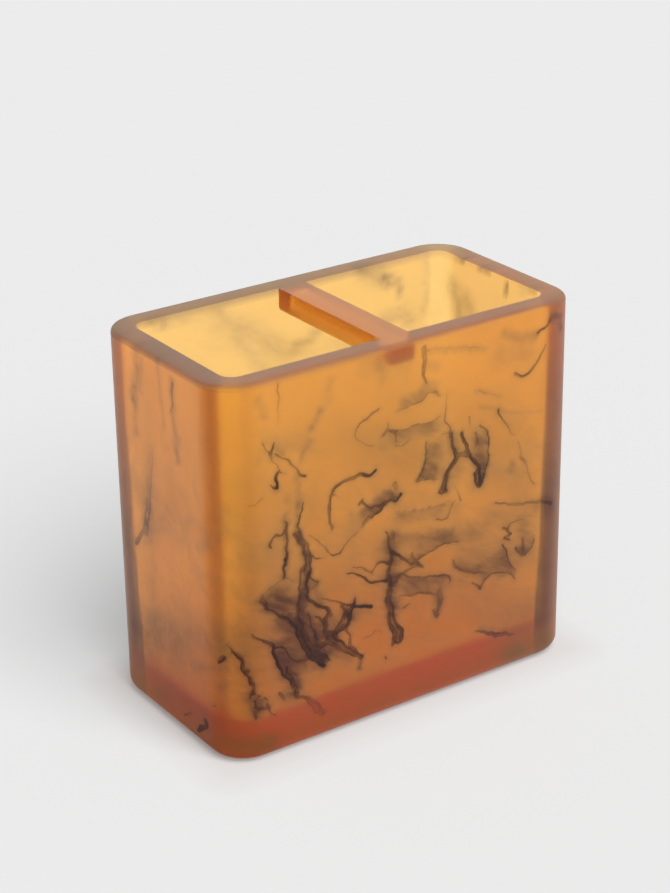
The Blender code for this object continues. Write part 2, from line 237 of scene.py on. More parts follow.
LEFT_PLUMES = (
    (((-8, 97.4), (-7.4, 94), (-6.8, 89.6)), (0.9, 0.6), (0.45, 0.5)),
    (((3.4, 76), (4.4, 69), (5.6, 63), (6.6, 57), (7.6, 53.6), (8.4, 51)), (0.5, 1), (0.15, 0.5)),
    (((7.4, 62), (8.4, 57), (9, 54), (10, 51.4), (11.4, 49.6), (13.8, 46.6)), (0.4, 1.6), (0.2, 0.65)),
    (((-24.2, 29.8), (-22.6, 28.6)), (1.8, 1), (0.8, 0.6)),
    (((-21.4, 15.6), (-19.6, 15.2)), (0.5, 0.4), (0.35, 0.25)),
    (((-17.2, 9), (-16.4, 7.2), (-14.6, 6.4), (-13, 4.8)), (1.8, 1.2), (0.7, 0.85)),
    (((-17.4, 9.8), (-15.6, 9.2)), (0.8, 0.6), (0.6, 0.4)),
    (((-10.4, 8.4), (-8, 7), (-6.2, 6)), (0.8, 0.6), (0.3, 0.35)),
)
# Smoke is a soft line through places, with half its breadth in mm, its darkness, and its darkness
# at the last place where that differs.
FRONT_SMOKE = (
    (((-43.6, 97), (-42.2, 93.4)), 1.4, 0.22),
    (((-38.6, 83), (-37.4, 82.4)), 1.5, 0.25),
    (((-28.8, 86.6), (-27.6, 88.4), (-26.6, 90)), 1.2, 0.35),
    (((-31.8, 78.6), (-31.4, 81), (-29.8, 83)), 1, 0.22),
    (((-24.4, 92), (-23.4, 97)), 1.5, 0.14),
    (((-33.6, 75), (-33, 71), (-32.6, 67)), 1.2, 0.25),
    (((-36, 70), (-35.6, 64)), 1.2, 0.15),
    (((-17.5, 60), (-16, 58)), 2, 0.2),
    (((-13, 60.6), (-9, 62), (-5, 62)), 2, 0.5),
    (((-8, 76.6), (0, 77), (8, 76.6)), 2.2, 0.18),
    (((-1.6, 86), (2, 86.8), (4, 88)), 1.8, 0.24),
    (((8.4, 71.4), (8.6, 66.4)), 3, 0.2),
    (((-3, 56.4), (6, 54.6), (14, 52.6)), 2.6, 0.22),
    (((4, 47.6), (12, 47), (20, 46)), 2.4, 0.25),
    (((28, 92), (36, 90)), 3.4, 0.16),
    (((26, 62), (34, 60)), 5, 0.12),
    (((-9, 99), (-8, 94)), 1.6, 0.18),
    (((6, 94.4), (8, 93.4)), 1.5, 0.15),
    (((6, 98), (15, 96.3), (23, 94.6)), 1, 0.2),
    (((30, 97), (34, 95), (39, 94.4)), 1.6, 0.3),
    (((45, 98), (47.6, 97), (48.4, 93.6)), 1.5, 0.5),
    (((14.2, 72.4), (14.4, 69.6)), 1.6, 0.35),
    (((6.5, 68), (9.5, 65.5)), 3.2, 0.2),
    (((21.6, 70), (22.4, 61)), 2, 0.45),
    (((11, 62), (10.6, 60)), 1.6, 0.3),
    (((31, 73), (35, 71.6)), 1.8, 0.14),
    (((32.6, 60.4), (32, 59)), 1.3, 0.3),
    (((44, 47), (46, 44)), 2.4, 0.4),
    (((37, 43), (37, 36)), 3, 0.35),
    (((21.4, 79.4), (26, 77.6), (32, 75.2), (42, 72.8)), 0.6, 0.14),
    (((20, 83.6), (24, 82.6), (28.4, 80.4)), 0.6, 0.15),
    (((-30.4, 37), (-29, 32), (-28, 29)), 2.2, 0.35),
    (((-42.6, 45.4), (-39, 45), (-36.4, 43)), 2.4, 0.35),
    (((-29.4, 26.4), (-27.2, 23.6)), 2.2, 0.8),
    (((-31, 29.6), (-27, 28.4), (-24, 28.4)), 2, 0.7),
    (((-39.6, 42.4), (-34, 33), (-27.6, 25)), 4.8, 0.56),
    # Painted shade: the next row darkens the front along its left edge, from 74 mm down to 18 mm
    (((-48.6, 74), (-49.2, 50), (-49, 18)), 4, 0.04, 0.3),
    (((-41, 86), (-30, 83)), 3, 0.15),
    (((-34, 31), (-32, 24)), 2.6, 0.3),
    (((-24, 25), (-19, 21)), 2.4, 0.25),
    (((-13, 98), (-1, 95.6)), 3, 0.12),
    (((-43, 17), (-32, 13)), 3, 0.14),
    (((-18, 55), (-16.4, 44), (-14, 34)), 4.5, 0.17),
    (((-4, 46), (2, 43)), 3, 0.15),
    (((26, 48.6), (40, 45.4)), 2.6, 0.2),
    (((-25, 33), (-19, 32)), 3.4, 0.52),
    (((13, 73), (15, 66), (13, 60)), 2.8, 0.25),
    (((20, 72), (22, 64), (21, 58)), 2.6, 0.25),
    (((-7, 50), (-5, 30)), 3.6, 0.36),
    (((25, 44), (36, 36)), 6, 0.16),
    (((26, 24), (38, 16)), 5, 0.16),
    # Painted shade: the next row darkens the foot near the front's right corner
    (((36, 4), (44, 6)), 6, 0.16),
    (((-38.4, 28), (-35.4, 18)), 2.8, 0.45),
    (((-33.4, 59), (-31.4, 54), (-31, 49), (-31.8, 43)), 1.3, 0.6),
    (((-37, 66), (-37, 56), (-37.6, 50)), 0.9, 0.3),
    (((-33.4, 68), (-33.6, 60)), 0.9, 0.3),
    (((-32.2, 44), (-32.8, 38), (-32.4, 31)), 1.7, 0.8),
    (((-29, 44.6), (-28, 41.5), (-27.4, 39)), 1.6, 0.45),
    (((-15.2, 19.8), (-15.6, 17.4)), 0.9, 0.6),
    (((-39, 31), (-36.8, 26), (-35.6, 18)), 2.6, 0.45),
    (((-47.6, 20), (-46.4, 14)), 2, 0.4),
    (((-5.6, 51), (-5.4, 40), (-5.4, 30)), 1.8, 0.5),
    (((-3, 50), (4, 48), (14, 45), (22, 43)), 2.2, 0.3),
    (((0, 36), (8, 34), (12, 33)), 2.6, 0.32),
    (((16, 38), (24, 36), (30, 35)), 3.2, 0.32),
    (((17, 33), (24, 32.6), (30, 32)), 2.4, 0.28),
    (((9.4, 31), (9, 26)), 1.8, 0.4),
    (((-44, 84), (-44.6, 81.6)), 1.6, 0.15),
    (((-41, 60), (-40, 40), (-39, 26)), 6, 0.1, 0.25),
)
LEFT_SMOKE = (
    (((9.4, 100), (9, 95), (11, 87)), 2, 0.28),
    (((10.8, 90), (11.2, 78)), 1.2, 0.25),
    (((6.6, 99), (7.4, 90)), 1, 0.16),
    (((-1, 101), (-3, 84)), 0.9, 0.2),
    (((-7.6, 98), (-7.8, 86), (-8.8, 78)), 1.3, 0.28),
    (((-27, 35), (-18, 33), (-6, 30), (6, 28)), 3, 0.14),
    (((-25, 23), (-23, 21.5)), 1.6, 0.25),
    (((-20, 60), (-18, 58)), 2, 0.2),
    (((12, 92), (12.5, 60)), 3, 0.12),
    (((-26, 70), (-25, 62)), 1.5, 0.15),
    (((-10, 84), (-8.6, 77)), 0.8, 0.15),
    (((-6, 26), (12, 22)), 4, 0.12),
    (((4.6, 74), (6, 65), (8, 54)), 2.2, 0.15, 0.4),
    (((4, 92), (4, 60)), 6, 0.08),
    (((-20, 31), (13, 20)), 7, 0.1, 0.3),
    (((-24, 27), (-12, 23)), 1.6, 0.2),
)
# Painted shade: past an edge on the front and on the left side, where the right and back walls are seen
# from end to end, the outside is painted darker. The rows give the height and the edge's place in mm, and
# the darkness. The rim is painted darker too: its rows give the way round in mm from the middle of the front,
# and the darkness.
RIGHT_WALL_SHADE = (
    (0, 42, 0.3), (7, 41.2, 0.35), (12, 41.2, 0.6), (20, 41.4, 0.56), (35, 42.3, 0.54), (50, 42.4, 0.5),
    (65, 42.8, 0.32), (80, 43.2, 0.3), (95, 43.6, 0.1),
)
BACK_WALL_SHADE = (
    (0, 13.2, 0.2), (12, 13.2, 0.35), (20, 13.2, 0.6), (35, 14.2, 0.49), (50, 14.8, 0.42), (65, 14.8, 0.33),
    (80, 16.2, 0.18), (95, 16.5, 0.1),
)
RIM_SHADE = (
    (-157, 0.36), (-110, 0.36), (-79, 0.3), (-50, 0.1), (0, 0.03), (79, 0), (110, 0.25), (157, 0.36),
)
POCKET_BACK_SMOKE = (
    (((22, 100.5), (26, 99), (30, 96.6)), 2.4, 0.35),
    (((30, 96.4), (33.6, 95), (34.6, 92)), 1.3, 0.35),
    (((28, 85), (34, 86), (38, 83.4)), 1.8, 0.25),
    (((43, 100), (43.6, 92), (42, 84)), 1.4, 0.15),
    (((-42, 100.6), (-39, 100)), 1.4, 0.3),
    (((-38, 99.4), (-28, 98.6), (-22, 99.6)), 1.2, 0.15),
    (((-22, 97), (-15, 93), (-8, 88), (-3, 83.4)), 3.2, 0.18),
    (((-18, 92), (-14, 86), (-10, 80)), 2, 0.14),
    (((1, 84), (5, 85.4), (8, 87.6)), 1.8, 0.25),
)
POCKET_RIGHT_SMOKE = (
    (((-6, 100), (-6.3, 97)), 0.7, 0.6),
    (((1, 101), (5, 100.8)), 0.8, 0.4),
    (((12, 101), (16, 100)), 0.8, 0.4),
    (((10.4, 91), (6.6, 84)), 2.4, 0.24),
    (((16.4, 93), (12.6, 83)), 2.6, 0.28),
    (((-18, 101), (-12, 100)), 1, 0.25),
)
# The plumes of the front that the back and the right side have, turned over, lie between two heights
# and less than the third value from the middle, in mm
BACK_BAND = (10, 66, 50)
RIGHT_BAND = (8, 74, 24)
# The ends of the front's and the left side's corners in mm along the wall, where their shade ends
FRONT_END, LEFT_END = 60, 34
# How far below its top the rim is shaded
RIM_DEPTH = 1.3 * MM
# The seed of the wander that makes the plumes less even, and its reach in mm
WANDER_SEED, WANDER_REACH = 7, 0.16
# The silky lines in the ink are this many times as long as they are broad
SILK_STRETCH = 10
# Radius of the worktop in metres, far past the picture's edges
WORKTOP_RADIUS = 6.0
# The Mix node's colour sockets have no names of their own
MIX_A, MIX_B, MIX_RESULT = 6, 7, 2


def linear(hex_colour):
    """An sRGB hex colour as linear red, green and blue."""
    channels = [int(hex_colour[at:at + 2], 16) / 255 for at in (1, 3, 5)]
    return tuple(c / 12.92 if c <= 0.04045 else ((c + 0.055) / 1.055) ** 2.4 for c in channels)


def node(tree, kind, inputs=None, links=None, **settings):
    """Add a node, set its fields and sockets, and link other nodes' outputs to it."""
    made = tree.nodes.new(kind)
    for field, value in settings.items():
        setattr(made, field, value)
    for socket, value in (inputs or {}).items():
        made.inputs[socket].default_value = value
    for socket, source in (links or {}).items():
        tree.links.new(source, made.inputs[socket])
    return made


def new_material(name):
    """An empty node material, its tree and its output."""
    material = bpy.data.materials.new(name)
    material.use_nodes = True
    tree = material.node_tree
    tree.nodes.clear()
    return material, tree, tree.nodes.new("ShaderNodeOutputMaterial")


def light_paths(tree):
    """Whether a ray is from the camera, out of the resin, off its gloss, or through it from matt things."""
    path = node(tree, "ShaderNodeLightPath")
    first = node(tree, "ShaderNodeMath", {1: 0.5}, {0: path.outputs["Diffuse Depth"]}, operation="LESS_THAN")
    through = node(tree, "ShaderNodeMath", operation="MULTIPLY",
                   links={0: path.outputs["Is Transmission Ray"], 1: first.outputs["Value"]})
    spilt = node(tree, "ShaderNodeMath", operation="SUBTRACT",
                 links={0: path.outputs["Is Transmission Ray"], 1: through.outputs["Value"]})
    mirrored = node(tree, "ShaderNodeMath", operation="SUBTRACT", use_clamp=True,
                    links={0: path.outputs["Is Glossy Ray"], 1: path.outputs["Is Transmission Ray"]})
    return (path.outputs["Is Camera Ray"], through.outputs["Value"], mirrored.outputs["Value"],
            spilt.outputs["Value"])


def level_by_ray(tree, usual, *cases):
    """The usual level, or another one where a ray is of a given sort."""
    level = usual
    for ray, value in cases:
        made = node(tree, "ShaderNodeMapRange", links={"Value": ray})
        for socket, given in (("To Min", level), ("To Max", value)):
            if isinstance(given, float):
                made.inputs[socket].default_value = given
            else:
                tree.links.new(given, made.inputs[socket])
        level = made.outputs["Result"]
    return level


def settings(name):
    """One of the scene's groups of settings."""
    return getattr(bpy.context.scene, name)


class CastingSettings(bpy.types.PropertyGroup):
    """Sizes of the casting that the frame doesn't give, and the spacing of its mesh"""
    wall: FloatProperty(name="Wall", description="Thickness of the walls", default=6.5 * MM, unit="LENGTH")
    base: FloatProperty(name="Base", description="Thickness of the base", default=9.0 * MM, unit="LENGTH")
    outer_corner: FloatProperty(
        name="Outer corner", description="Radius of the upright outer corners", default=10.0 * MM,
        unit="LENGTH")
    pocket_corner: FloatProperty(
        name="Pocket corner", description="Radius of the upright inner corners", default=3.5 * MM,
        unit="LENGTH")
    foot_round: FloatProperty(
        name="Foot round", description="Round along the bottom edge", default=3.5 * MM, unit="LENGTH")
    floor_fillet: FloatProperty(
        name="Floor fillet", description="Fillet between floor and walls", default=3.0 * MM, unit="LENGTH")
    rim_round: FloatProperty(
        name="Rim round", description="Round along the rim's outer edge", default=1.2 * MM, unit="LENGTH")
    mouth_round: FloatProperty(
        name="Mouth round", description="Round along the rim's inner edge", default=0.4 * MM, unit="LENGTH")
    bar_upper_round: FloatProperty(
        name="Bar upper round", description="Round along the bar's upper edges", default=0.3 * MM,
        unit="LENGTH")
    bar_lower_round: FloatProperty(
        name="Bar lower round", description="Round along the bar's lower edges", default=1.6 * MM,
        unit="LENGTH")
    fine_step: FloatProperty(
        name="Front step", description="Mesh spacing on the front face", default=0.5 * MM, unit="LENGTH")
    coarse_step: FloatProperty(
        name="Side step", description="Mesh spacing round the other faces", default=1.0 * MM, unit="LENGTH")


class ResinSettings(bpy.types.PropertyGroup):
    """Colours and finish of the resin and its marbling"""
    amber: StringProperty(name="Amber", description="Tint of the satin outside", default="#FFEBA0")
    # Painted shade: the outside is tinted deeper along the foot
    foot_painted_shade: StringProperty(
        name="Foot painted shade", description="Tint of the outside along the foot", default="#E0DA7C")
    # Painted shade: the outside is tinted deeper round the front left corner
    corner_painted_shade: StringProperty(
        name="Corner painted shade", description="Tint of the outside round the front left corner",
        default="#F8DA6A")
    # Painted shade: all but the left side is tinted deeper low down
    low_painted_shade: StringProperty(
        name="Low painted shade", description="What tints all but the left side more, low down", default="#FFF6ED")
    # Painted shade: the bar's polished sides are tinted deeper
    bar_painted_shade: StringProperty(name="Bar painted shade", description="Tint of the bar's sides", default="#C09A0C")
    ink: StringProperty(name="Ink", description="Colour of the densest marbling", default="#16100D")
    # The smoke's colour also colours the clouds and the painted shade
    smoke: StringProperty(
        name="Smoke", description="Colour of the marbling where it thins to smoke", default="#483530")
    absorption: FloatVectorProperty(
        name="Absorption",
        description="Light lost in each millimetre, as natural logarithms for red, green and blue",
        default=(0.007, 0.060, 0.158))
    clouds: FloatProperty(
        name="Clouds", description="Darkness of the thin clouds low in the casting", default=0.15)
    satin: FloatProperty(name="Satin", description="Roughness of the outside and the rim", default=0.46)
    polish: FloatProperty(
        name="Polish", description="Roughness of the pockets and the bar's sides", default=0.12)


class PadSettings(bpy.types.PropertyGroup):
    """Colour and finish of the base pads"""
    colour: StringProperty(name="Pad colour", description="Tint of the clear pads", default="#F6F6F3")
    smoothest: FloatProperty(
        name="Smoothest", description="Roughness where the skin is smoothest", default=0.12)
    roughest: FloatProperty(
        name="Roughest", description="Roughness where the skin is roughest", default=0.3)


class StageSettings(bpy.types.PropertyGroup):
    """Colour of the worktop, and how strong the light is for each sort of ray"""
    floor: StringProperty(name="Floor", description="Colour of the worktop", default="#EBEBEB")
    sky: FloatProperty(name="Room light", description="Strength of the even room light", default=0.22)
    sky_through: FloatProperty(
        name="Room through resin", description="Strength of the room where the resin lets it through",
        default=1.55)
    sky_mirrored: FloatProperty(
        name="Room mirrored", description="Strength of the room where the resin mirrors it", default=1.25)
    floor_through: FloatProperty(
        name="Worktop through resin", description="Strength of the worktop where the resin lets it through",
        default=1.5)
    floor_mirrored: FloatProperty(
        name="Worktop mirrored", description="Strength of the worktop where the front mirrors it",
        default=0.46)
    back_mirrored: FloatProperty(
        name="Far worktop mirrored", description="Strength of the worktop where the left side mirrors it",
        default=1.2)
    own_shadow: FloatProperty(
        name="Own shadow mirrored", description="What the cup's shadow leaves of that light, close to it",
        default=0.55)
    shadow_reach: FloatProperty(
        name="Reach of that shadow", description="How far from the cup it goes", default=70 * MM,
        unit="LENGTH")
    # Painted shadow: close to the cup the worktop is painted in warm shade and amber light
    painted_cup_shadow: StringProperty(
        name="Under the cup", default="#BC998B",
        description="Colour that the worktop takes from the resin's light, close to the cup")
    under_seen: FloatProperty(
        name="Share seen directly", description="Share of that colour that shows past the resin", default=0.5)
    under_reach: FloatProperty(
        name="Reach of that colour", description="How far past the cup it goes, seen through the resin",
        default=50 * MM, unit="LENGTH")
    foot_reach: FloatProperty(
        name="Reach seen directly", description="How far past the cup it goes, seen directly",
        default=11 * MM, unit="LENGTH")
    spill: FloatProperty(
        name="Spill", description="Room light that the resin lets onto the worktop", default=0.12)
    even_floor: FloatProperty(
        name="Even floor", description="Share of the worktop that no shadow reaches", default=0.34)
    even_seen: FloatProperty(
        name="Even floor through resin", description="The same share seen through the resin", default=0.9)
    window: FloatProperty(name="Window", description="Strength of the soft window on the right", default=3.24)
    window_turn: FloatProperty(
        name="Window turn", description="Angle of the window from the camera, to the right",
        default=math.radians(29), subtype="ANGLE")
    window_height: FloatProperty(
        name="Window height", description="Angle of the window over the worktop", default=math.radians(50),
        subtype="ANGLE")
    window_spread: FloatProperty(
        name="Window spread", description="Width of the window seen from the cup", default=math.radians(51),
        subtype="ANGLE")


class CameraSettings(bpy.types.PropertyGroup):
    """Where the photograph was taken from"""
    distance: FloatProperty(
        name="Distance", description="From the middle of the cup", default=578 * MM, unit="LENGTH")
    azimuth: FloatProperty(
        name="Azimuth", description="Round the cup from +X", default=math.radians(-124.6), subtype="ANGLE")
    elevation: FloatProperty(
        name="Elevation", description="Above the worktop", default=math.radians(25.13), subtype="ANGLE")
    tilt: FloatProperty(
        name="Tilt", description="Roll about the line of sight", default=math.radians(-0.83), subtype="ANGLE")
    lens: FloatProperty(name="Lens", description="Focal length for a 24 mm high sensor, in mm", default=59.8)
    aim: FloatVectorProperty(
        name="Aim", description="Point looked at", default=(1.1 * MM, 5.4 * MM, 61.6 * MM), unit="LENGTH")


def quarter(steps):
    """The angles of a quarter turn, in equal steps."""
    return [math.pi / 2 * step / steps for step in range(steps + 1)]


# The signs of x and y at the four upright corners, anticlockwise from the back right one
CORNERS = ((1, 1), (-1, 1), (-1, -1), (1, -1))


def outline(length, depth, corner, counts, corner_steps=12):
    """Points of a rounded rectangle, with counts of steps on its back, left, front and right."""
    points = []
    for turn, count in enumerate(counts):
        centre, follow = (
            Vector((x * (length / 2 - corner), y * (depth / 2 - corner)))
            for x, y in (CORNERS[turn], CORNERS[(turn + 1) % 4]))
        angles = [turn * math.pi / 2 + angle for angle in quarter(corner_steps)]
        points += [centre + corner * Vector((math.cos(angle), math.sin(angle))) for angle in angles]
        out = points[-1] - centre
        points += [centre.lerp(follow, step / count) + out for step in range(1, count)]
    return points


def casting_sections(cup):
    """Length, depth, corner and height of each section: up the outside, over the rim, down the pocket."""
    length, depth, _ = BODY_HIGH - BODY_LOW
    bottom, top = BODY_LOW.z, BODY_HIGH.z
    sections = []

    def section(inset, corner, height):
        sections.append((length - 2 * inset, depth - 2 * inset, corner, height))

    def straight(inset, corner, start, stop, step):
        rows = round(abs(stop - start) / step)
        for row in range(1, rows):
            section(inset, corner, start + (stop - start) * row / rows)

    for angle in quarter(8):
        inset = cup.foot_round * (1 - math.sin(angle))
        section(inset, cup.outer_corner - inset, bottom + cup.foot_round * (1 - math.cos(angle)))
    straight(0, cup.outer_corner, bottom + cup.foot_round, top - cup.rim_round, cup.fine_step)
    for angle in quarter(5):
        inset = cup.rim_round * (1 - math.cos(angle))
        section(inset, cup.outer_corner - inset, top - cup.rim_round * (1 - math.sin(angle)))
    for angle in quarter(4):
        spread = cup.mouth_round * (1 - math.sin(angle))
        section(cup.wall - spread, cup.pocket_corner + spread, top - cup.mouth_round * (1 - math.cos(angle)))
    floor = bottom + cup.base
    straight(cup.wall, cup.pocket_corner, top - cup.mouth_round, floor + cup.floor_fillet,
             2 * cup.coarse_step)
    for angle in quarter(8):
        inset = cup.floor_fillet * (1 - math.cos(angle))
        section(cup.wall + inset, cup.pocket_corner * (1 - 0.9 * (1 - math.cos(angle))),
                floor + cup.floor_fillet * (1 - math.sin(angle)))
    return sections


def tube_object(name, rings):
    """A closed mesh through rings of points, filled at both ends."""
    bm = bmesh.new()
    rows = [[bm.verts.new(point) for point in ring] for ring in rings]
    for lower, upper in zip(rows, rows[1:]):
        for at, vert in enumerate(lower):
            bm.faces.new((lower[at - 1], vert, upper[at], upper[at - 1]))
    bm.faces.new(rows[0])
    bm.faces.new(rows[-1])
    bmesh.ops.recalc_face_normals(bm, faces=bm.faces)
    mesh = bpy.data.meshes.new(name)
    bm.to_mesh(mesh)
    bm.free()
    made = bpy.data.objects.new(name, mesh)
    bpy.context.collection.objects.link(made)
    return made


def casting_shell(cup):
    """The casting without its bar, with finer steps along its front."""
    length, depth, _ = BODY_HIGH - BODY_LOW
    along, across = length - 2 * cup.outer_corner, depth - 2 * cup.outer_corner
    side = round(across / cup.coarse_step)
    counts = (round(along / cup.coarse_step), side, round(along / cup.fine_step), side)
    rings = []
    for length, depth, corner, height in casting_sections(cup):
        rings.append([(*point, height) for point in outline(length, depth, corner, counts)])
    return tube_object("cup_casting", rings)


def bar_tool(cup):
    """The bar, run into both walls so that a union joins it to them."""
    corners = (
        (BAR_HIGH.x, BAR_HIGH.z, cup.bar_upper_round, 1, 1),
        (BAR_LOW.x, BAR_HIGH.z, cup.bar_upper_round, -1, 1),
        (BAR_LOW.x, BAR_LOW.z, cup.bar_lower_round, -1, -1),
        (BAR_HIGH.x, BAR_LOW.z, cup.bar_lower_round, 1, -1),
    )
    profile = []
    for turn, (x, z, radius, side_x, side_z) in enumerate(corners):
        for angle in quarter(6):
            swept = turn * math.pi / 2 + angle
            profile.append((x + radius * (math.cos(swept) - side_x), z + radius * (math.sin(swept) - side_z)))
    reach = BODY_HIGH.y - cup.wall + 1 * MM
    rows = 12
    rings = []
    for row in range(rows + 1):
        y = reach * (2 * row / rows - 1)
        rings.append([(x, y, z) for x, z in profile])
    return tube_object("bar_tool", rings)


def join_bar(casting, bar):
    """Join the bar to the casting as one mesh, without a seam."""
    union = casting.modifiers.new("bar", "BOOLEAN")
    union.operation = "UNION"
    union.solver = "EXACT"
    union.object = bar
    joined = bpy.data.meshes.new_from_object(casting.evaluated_get(bpy.context.evaluated_depsgraph_get()))
    casting.modifiers.clear()
    casting.data = joined
    bpy.data.objects.remove(bar, do_unlink=True)


def depth_inside(points, length, depth, corner):
    """How far each point lies inside a rounded rectangle, in plan."""
    reach = np.abs(points[:, :2]) - (np.array((length, depth)) / 2 - corner)
    beyond = np.linalg.norm(np.maximum(reach, 0), axis=1)
    return corner - beyond - np.minimum(reach.max(axis=1), 0)


def way_round(points, cup):
    """Each point's way round the casting in mm, from the middle of the front, over nought to the right."""
    length, depth, _ = BODY_HIGH - BODY_LOW
    half, side = length / 2 - cup.outer_corner, depth / 2 - cup.outer_corner
    x, y = np.abs(points[:, 0]), points[:, 1]
    turn = np.arctan2(x - np.minimum(x, half), np.clip(y, -side, side) - y)
    beyond_front = np.where(y < side, half + side + y, 2 * half + 2 * side - np.minimum(x, half))
    along = np.where(y <= -side, np.minimum(x, half), beyond_front)
    return np.where(points[:, 0] < 0, -1, 1) * (along + cup.outer_corner * turn) / MM


def spline(places, steps=6):
    """A smooth line through the places."""
    ends = [2 * places[0] - places[1], *places, 2 * places[-1] - places[-2]]
    line = []
    for a, b, c, d in zip(ends, ends[1:], ends[2:], ends[3:]):
        for t in np.arange(steps) / steps:
            line.append(0.5 * (2 * b + (c - a) * t + (2 * a - 5 * b + 4 * c - d) * t * t
                               + (3 * b - a - 3 * c + d) * t ** 3))
    return np.array([*line, places[-1]])


def beside(points, line):
    """Each point's offset from a line, the share of the line behind its foot, and the side it lies on."""
    step = line[1:] - line[:-1]
    length = np.linalg.norm(step, axis=1)
    way = points[:, None] - line[:-1]
    share = np.clip((way * step).sum(-1) / length ** 2, 0, 1)
    offset = way - share[..., None] * step
    nearest = np.linalg.norm(offset, axis=-1).argmin(axis=1)
    rows = np.arange(len(points))
    before = np.concatenate(((0,), np.cumsum(length)))
    behind = (before[nearest] + share[rows, nearest] * length[nearest]) / before[-1]
    way, step = way[rows, nearest], step[nearest]
    side = np.sign(step[:, 0] * way[:, 1] - step[:, 1] * way[:, 0])
    return offset[rows, nearest], behind, side


def wander(points, seed, reach):
    """A smooth seeded wander over the wall, for plumes that were drawn too evenly."""
    rng = np.random.default_rng(seed)
    moved = np.zeros_like(points)
    for wave in (7.0, 4.0, 2.4, 1.5):
        for _ in range(3):
            angle, phase = rng.uniform(0, 2 * math.pi, 2)
            across = points @ np.array((math.cos(angle), math.sin(angle)))
            way = np.array((-math.sin(angle), math.cos(angle)))
            moved += reach * wave / 7 * np.sin(2 * math.pi * across / wave + phase)[:, None] * way
    return moved


class Marbling:
    """Ink on the casting's points: their offset from the nearest plume, its depth, the smoke round it, and
    the painted shade.
    """

    # The offset of a point that no plume reaches
    NO_INK = 9.0
    # In mm: how far round its line a plume is laid, how deep its edge goes, where its ink ends past the
    # edge, over how much it fades there, and how far its halo goes
    LAID, EDGE, INK_END, INK_FADE, HALO = 4, 0.8, 0.95, 0.35, 0.7
    # A broad plume is thinner along its middle. That begins at the first half breadth, in mm, and is
    # full where the half breadth is more by the second. The third is the share of ink lost there.
    HOLLOW_FROM, HOLLOW_OVER, HOLLOW_SHARE = 0.5, 0.6, 0.4
    # Darkness of the halo and the veils, as shares of what the tables give
    HALO_SHARE, VEIL_SHARE = 0.3, 1.4
    # In mm: over how much a wall's shade begins, and ends at the corner. It falls to half from the
    # third past its edge on, over as much again.
    SHADE_START, SHADE_END, SHADE_FALL = 0.8, 5, 4

    def __init__(self, count):
        self.offset = np.full((count, 3), self.NO_INK)
        self.off = np.full(count, self.NO_INK)
        self.across = np.zeros(count)
        self.depth = np.zeros(count)
        self.clear = np.ones(count)
        self.lit = np.ones(count)

    def near(self, wall, places, reach):
        """The points of the wall within reach of the line through the places, and how they lie by it."""
        index, points = wall
        line = spline([np.array(place, float) for place in places])
        inside = ((points > line.min(axis=0) - reach) & (points < line.max(axis=0) + reach)).all(axis=1)
        offset, behind, side = beside(points[inside], line)
        return index[inside], offset, np.linalg.norm(offset, axis=1), behind, side

    def plume(self, wall, places, breadth, darkness, reach=0, veil=0):
        """Lay a plume of ink on a wall, with its halo and its veil."""
        index, offset, gap, behind, side = self.near(wall, places, max(abs(reach), self.LAID))
        half = np.interp(behind, (0, 1), breadth) / 2
        dark = np.interp(behind, (0, 1), darkness)
        # The offset is 1 at the plume's edge and falls to nought inwards, through the depth of its edge
        off = np.maximum(1 + (gap - half) / np.minimum(half, self.EDGE), 0)
        nearer = off < self.off[index]
        at = index[nearer]
        self.off[at] = off[nearer]
        self.offset[at, :2] = (offset * (off / np.maximum(gap, 0.001))[:, None])[nearer]
        # Between two plumes their offsets would cancel, and the third value keeps the space there clear
        self.offset[at, 2] = 1.5 * np.maximum(off - 1, 0)[nearer]
        self.across[at] = (side * gap)[nearer]
        broad = np.clip((half - self.HOLLOW_FROM) / self.HOLLOW_OVER, 0, 1)
        hollow = 1 - self.HOLLOW_SHARE * broad * np.clip(1 - gap / half, 0, 1)
        faded = np.clip((self.INK_END - gap + half) / self.INK_FADE, 0, 1)
        self.depth[at] = (dark * hollow * faded)[nearer]
        self.clear[index] *= 1 - self.HALO_SHARE * dark * np.exp(-(gap / (half + self.HALO)) ** 2)
        if veil:
            hangs = np.clip(side * np.sign(reach), 0, 1) * (behind > 0) * (behind < 1)
            # It thins out over the first and the last sixth of the line
            ends = np.clip(np.minimum(behind, 1 - behind) * 6, 0, 1)
            thinned = np.clip(1 - gap / abs(reach), 0, 1) ** 0.8
            self.clear[index] *= 1 - self.VEIL_SHARE * veil * hangs * ends * thinned

    def smoke(self, wall, places, breadth, darkness, later=None):
        """Lay smoke on a wall, as dark at its last place as at the first unless another darkness is given."""
        index, _, gap, behind, _ = self.near(wall, places, 2.5 * breadth)
        dark = np.interp(behind, (0, 1), (darkness, darkness if later is None else later))
        self.clear[index] *= 1 - dark * np.exp(-(gap / breadth) ** 2)

    def shade(self, wall, end, rows):
        """Paint shade on a wall from an edge on, to the end of its corner, by rows of height, edge and
        darkness.
        """
        index, places = wall
        heights, edges, darkness = np.array(rows).T
        along, height = places.T
        past = along - np.interp(height, heights, edges)
        dark = np.interp(height, heights, darkness) * (1 - 0.5 * np.clip(past / self.SHADE_FALL - 1, 0, 1))
        begun = np.clip(past / self.SHADE_START + 0.5, 0, 1)
        self.lit[index] *= 1 - dark * begun * np.clip((end - along) / self.SHADE_END, 0, 1)


def turned_over(plumes, low, high, aside):
    """The plumes that lie between two heights and less than aside from the middle, turned over there."""
    turned = []
    for places, *rest in plumes:
        if all(low < z < high and abs(s) < aside for s, z in places):
            turned.append(([(s, low + high - z) for s, z in places], *rest))
    return turned


